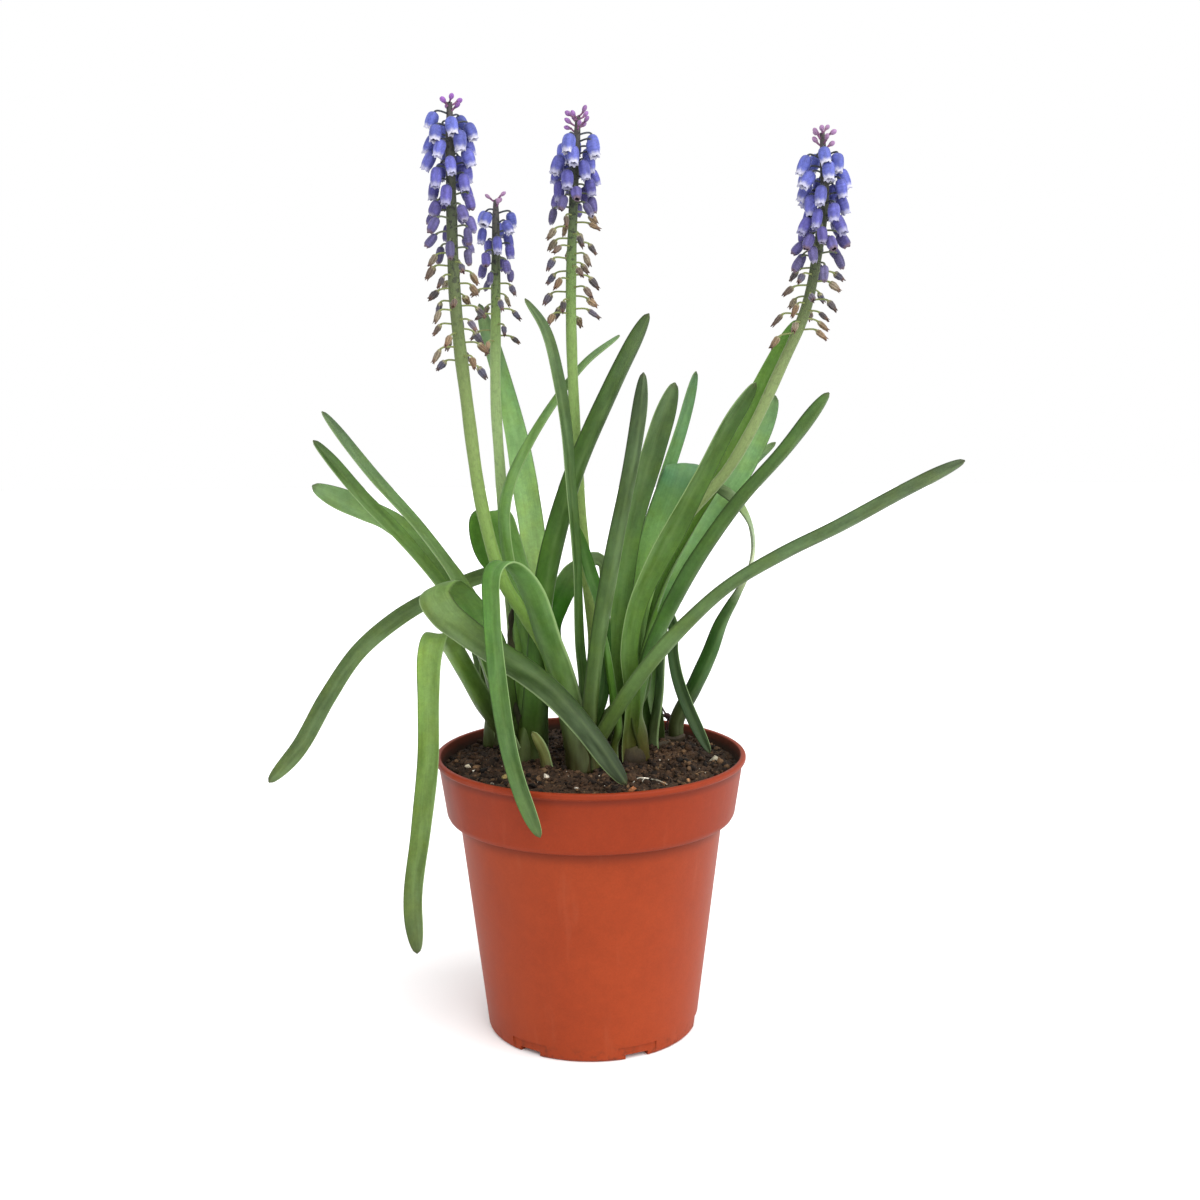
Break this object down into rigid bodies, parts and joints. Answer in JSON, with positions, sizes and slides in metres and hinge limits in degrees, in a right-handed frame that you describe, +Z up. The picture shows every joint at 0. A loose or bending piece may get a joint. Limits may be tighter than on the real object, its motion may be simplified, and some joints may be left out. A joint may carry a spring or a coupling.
{
  "type": "grape hyacinth in a pot",
  "caption": "Clump of flowering grape hyacinths: strap leaves, some folded over the rim, and blue flower spikes, growing from bulbs in soil in a round plastic nursery pot.",
  "frame": {"origin": "centre of the pot's flat underside", "axes": "+Z up along the pot's axis, +X to the right and +Y to the back as the picture sees the plant"},
  "size_m": [0.2, 0.0924, 0.2666],
  "materials": {
    "pot_plastic": "terracotta-coloured moulded plastic, satin, with faint scuffs",
    "potting_soil": "crumbly dark brown potting mix with bark chips and fibres",
    "bulb_skin": "papery brown-green bulb skin",
    "leaf": "fleshy green leaf with a bluish bloom, satin",
    "flower_spike": "blue waxy florets that fade to grey-brown lower down, on a green stalk",
    "shoot": "olive-yellow young shoot, satin",
    "dried_stalk": "dry dark brown stalk, matt"
  },
  "bodies": {
    "root": {"pot": "pot_plastic", "soil": "potting_soil", "bulb_left": "bulb_skin", "bulb_centre_left": "bulb_skin", "bulb_front": "bulb_skin", "bulb_right": "bulb_skin", "bulb_back_right": "bulb_skin", "bulb_far_right": "bulb_skin", "bulb_back": "bulb_skin", "bulb_back_middle": "bulb_skin", "leaf_01": "leaf", "leaf_02": "leaf", "leaf_03": "leaf", "leaf_04": "leaf", "leaf_05": "leaf", "leaf_06": "leaf", "leaf_07": "leaf", "leaf_08": "leaf", "leaf_09": "leaf", "leaf_10": "leaf", "leaf_11": "leaf", "leaf_12": "leaf", "leaf_13": "leaf", "leaf_14": "leaf", "leaf_15": "leaf", "leaf_16": "leaf", "leaf_17": "leaf", "leaf_18": "leaf", "leaf_19": "leaf", "leaf_20": "leaf", "leaf_21": "leaf", "leaf_22": "leaf", "leaf_23": "leaf", "leaf_24": "leaf", "leaf_25": "leaf", "leaf_26": "leaf", "leaf_27": "leaf", "young_shoot": "shoot", "spike_1": "flower_spike", "spike_2": "flower_spike", "spike_3": "flower_spike", "spike_4": "flower_spike", "dried_stalk": "dried_stalk"}
  },
  "joints": []
}
